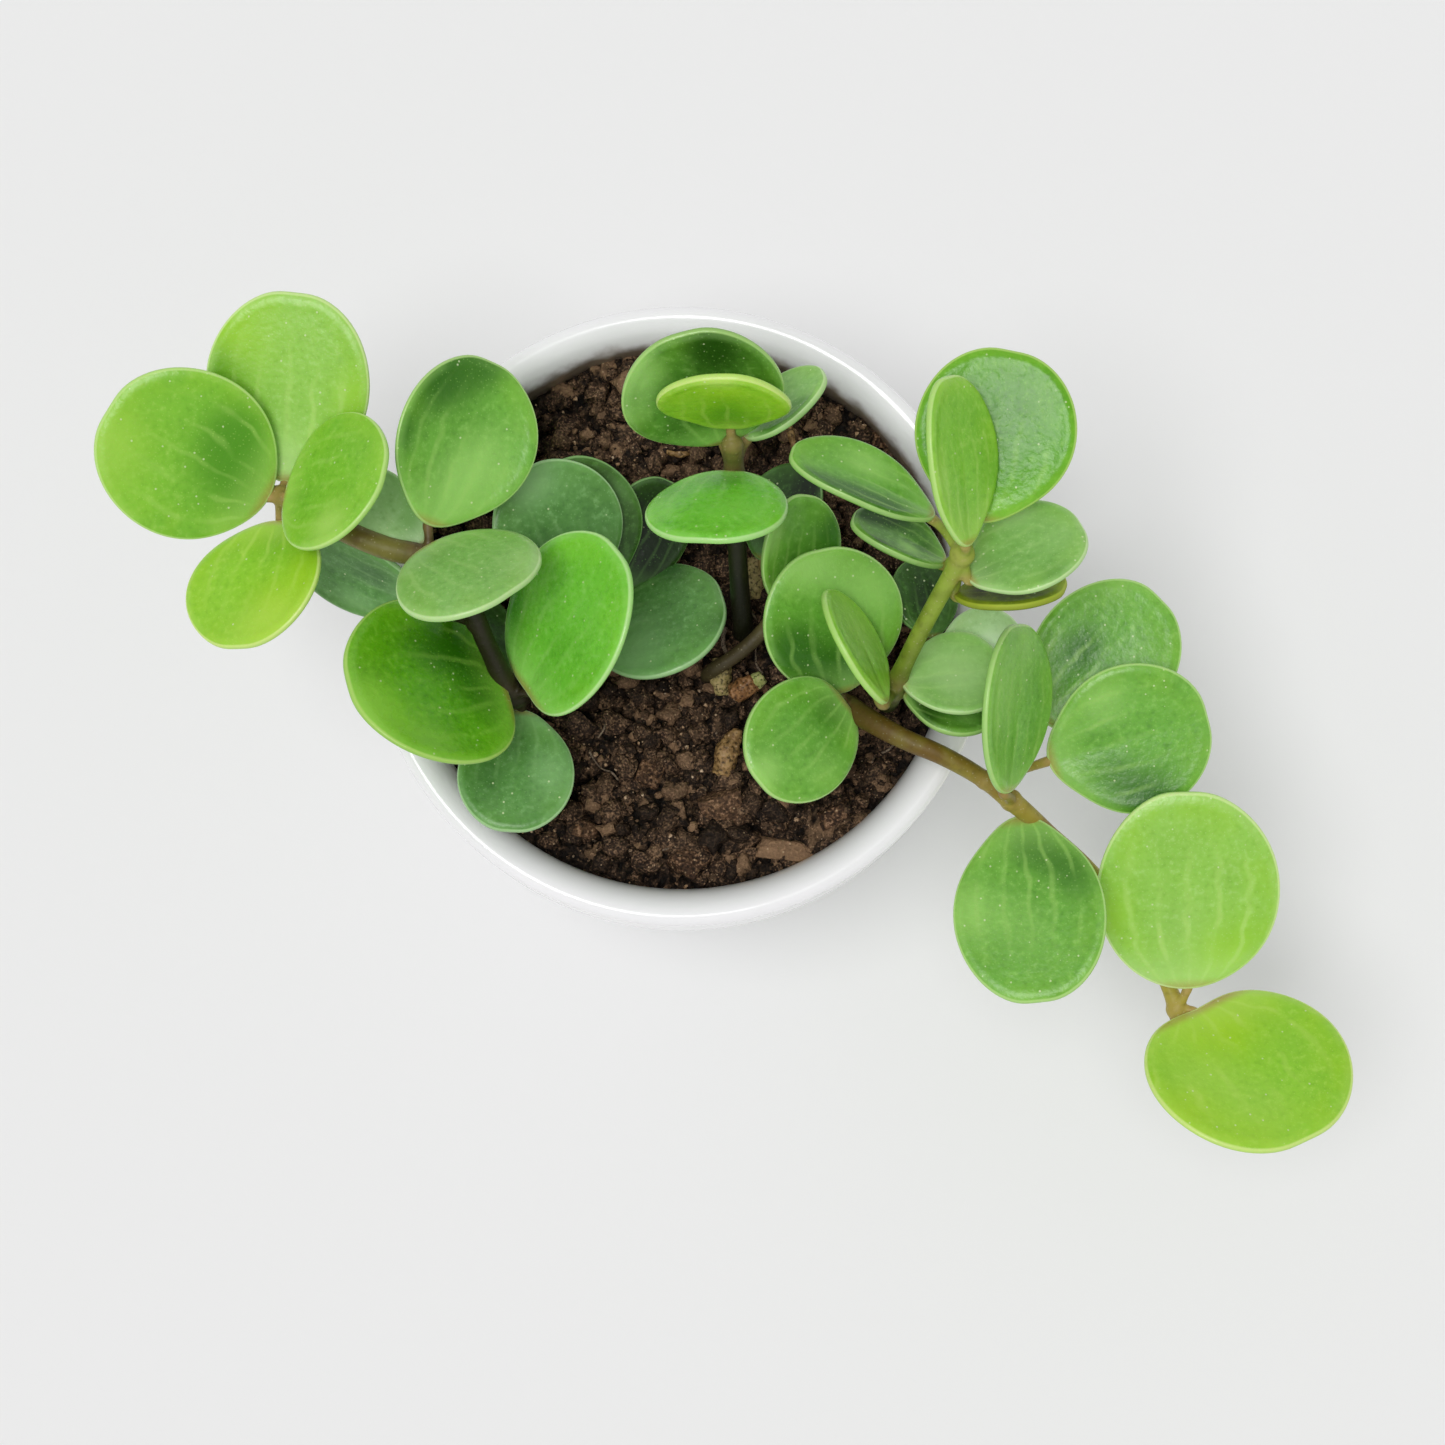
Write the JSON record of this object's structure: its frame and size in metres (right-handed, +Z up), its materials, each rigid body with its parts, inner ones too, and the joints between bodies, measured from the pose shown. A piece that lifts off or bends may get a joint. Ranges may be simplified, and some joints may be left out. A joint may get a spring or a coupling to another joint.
{
  "type": "potted trailing plant",
  "caption": "Small houseplant with thick round leaves in whorls on trailing stems, rooted in dark potting mix in a round white glazed pot.",
  "frame": {"origin": "centre of the pot's flat underside", "axes": "+Z up along the pot's axis, +X along the plant's length, towards the tip of the stem that trails over the rim, +Y to the back"},
  "size_m": [0.1756, 0.1217, 0.1139],
  "materials": {
    "white_glaze": "gloss",
    "potting_mix": "matte",
    "leaf_young": "satin",
    "leaf_mid": "satin",
    "leaf_old": "satin"
  },
  "bodies": {
    "root": {"pot": "white_glaze", "soil": "potting_mix", "shoot_left": "leaf_young", "shoot_inner": "leaf_old", "shoot_upright": "leaf_mid", "shoot_short": "leaf_old", "shoot_upper": "leaf_mid", "shoot_trailing": "leaf_young"}
  },
  "joints": []
}
